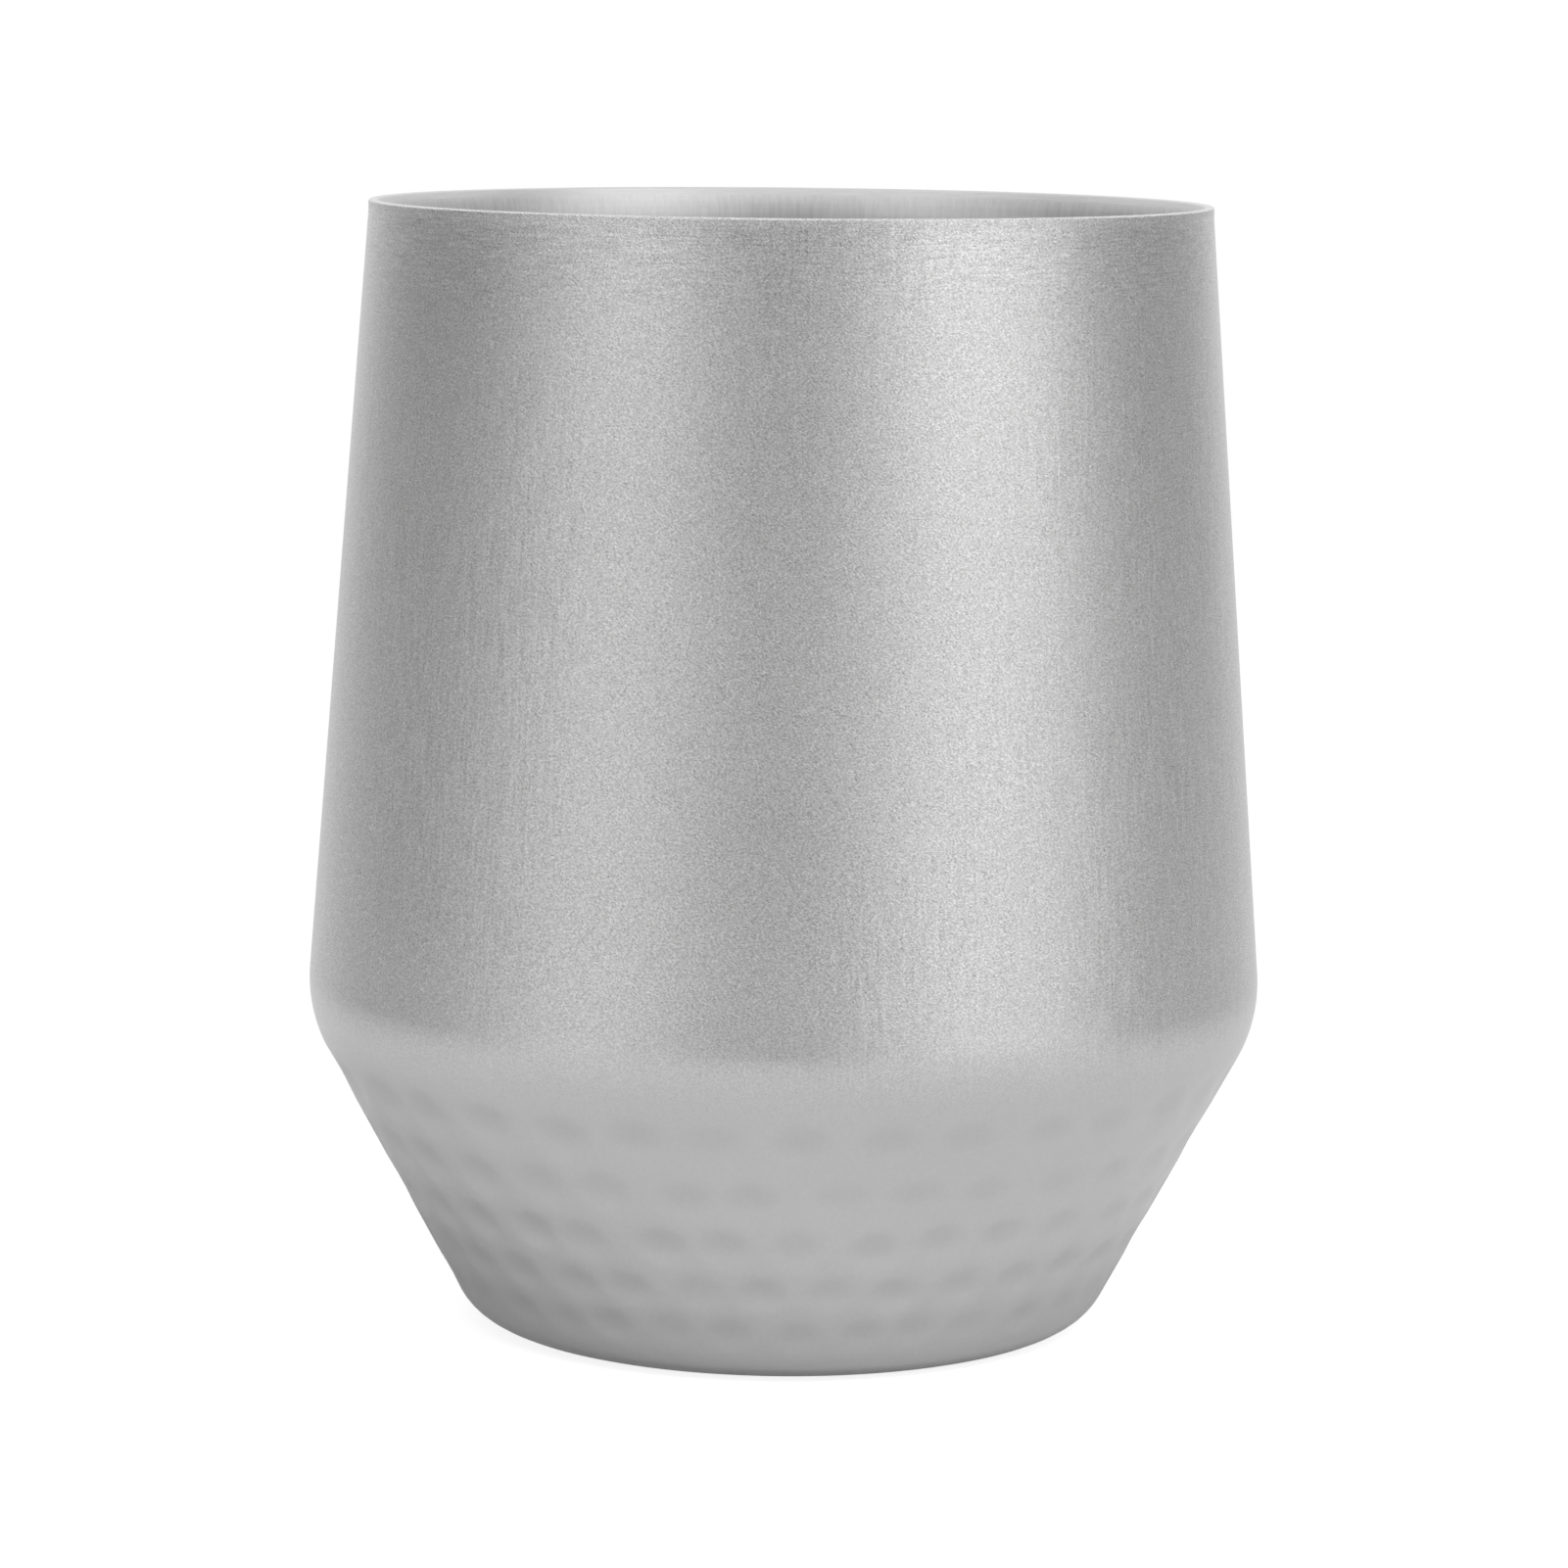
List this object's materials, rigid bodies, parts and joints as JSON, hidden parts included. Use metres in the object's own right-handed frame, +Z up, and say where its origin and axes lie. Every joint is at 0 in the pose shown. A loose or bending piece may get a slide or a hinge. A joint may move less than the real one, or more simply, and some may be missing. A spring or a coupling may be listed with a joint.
{
  "type": "insulated coffee cup",
  "caption": "Double-wall stainless steel cup without handle or lid: smooth upper wall widening to a rounded shoulder, hammered lower cone, thin polished lip and flat foot ring.",
  "frame": {"origin": "centre of the cup at the height of the table it stands on", "axes": "+Z up along the cup's axis, -Y towards the side seen in the picture"},
  "size_m": [0.088, 0.0878, 0.1035],
  "materials": {
    "satin_steel": "fine satin grain on the upper wall, plain satin on the hammered cone",
    "polished_rim": "polished",
    "liner_steel": "smooth satin, electropolished",
    "pan_steel": "smooth satin, electropolished",
    "seam_steel": "as welded",
    "copper_foil": "bright copper foil",
    "pressed_steel": "as pressed",
    "getter_steel": "as pressed",
    "getter_alloy": "sintered, matt",
    "seal_glass": "glazed bead of solder glass",
    "cap_steel": "satin"
  },
  "bodies": {
    "root": {"outer_shell": "satin_steel", "rim_weld": "polished_rim", "inner_liner": "liner_steel", "liner_bottom": "pan_steel", "liner_weld": "seam_steel", "reflective_foil": "copper_foil", "vacuum_base": "pressed_steel", "base_weld": "seam_steel", "getter_cup": "getter_steel", "getter_pellet": "getter_alloy", "seal_bead": "seal_glass", "base_cap": "cap_steel"}
  },
  "joints": []
}
